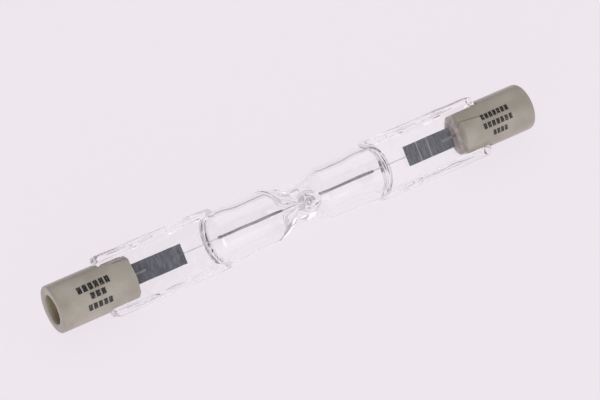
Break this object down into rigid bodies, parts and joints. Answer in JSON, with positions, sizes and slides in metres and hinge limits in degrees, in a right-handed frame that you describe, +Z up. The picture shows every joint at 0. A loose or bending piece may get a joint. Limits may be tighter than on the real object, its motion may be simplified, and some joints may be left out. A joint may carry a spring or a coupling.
{
  "type": "linear halogen bulb",
  "caption": "Double-ended tubular halogen lamp: clear quartz bulb crimped at mid-length, flat pinch seals, ceramic end caps with recessed contacts.",
  "frame": {"origin": "on the table under the middle of the lamp's box, as the lamp lies on it", "axes": "+X along the lamp's axis, +Z up, and the exhaust tip leans up and to -Y"},
  "size_m": [0.0782, 0.0096, 0.0096],
  "materials": {
    "quartz": "clear fused quartz, polished by the flame",
    "steatite": "dense cream-grey steatite, satin",
    "cement": "dried pinkish-grey cement, matt",
    "contact_metal": "nickel-plated contact, slightly dulled",
    "molybdenum": "rolled molybdenum, blue-grey",
    "tungsten": "drawn tungsten wire, dark grey"
  },
  "bodies": {
    "root": {"quartz_bulb": "quartz", "filament": "tungsten", "ceramic_cap_left": "steatite", "contact_button_left": "contact_metal", "cap_cement_left": "cement", "molybdenum_foil_left": "molybdenum", "outer_lead_left": "molybdenum", "inner_lead_left": "molybdenum", "ceramic_cap_right": "steatite", "contact_button_right": "contact_metal", "cap_cement_right": "cement", "molybdenum_foil_right": "molybdenum", "outer_lead_right": "molybdenum", "inner_lead_right": "molybdenum"}
  },
  "joints": []
}
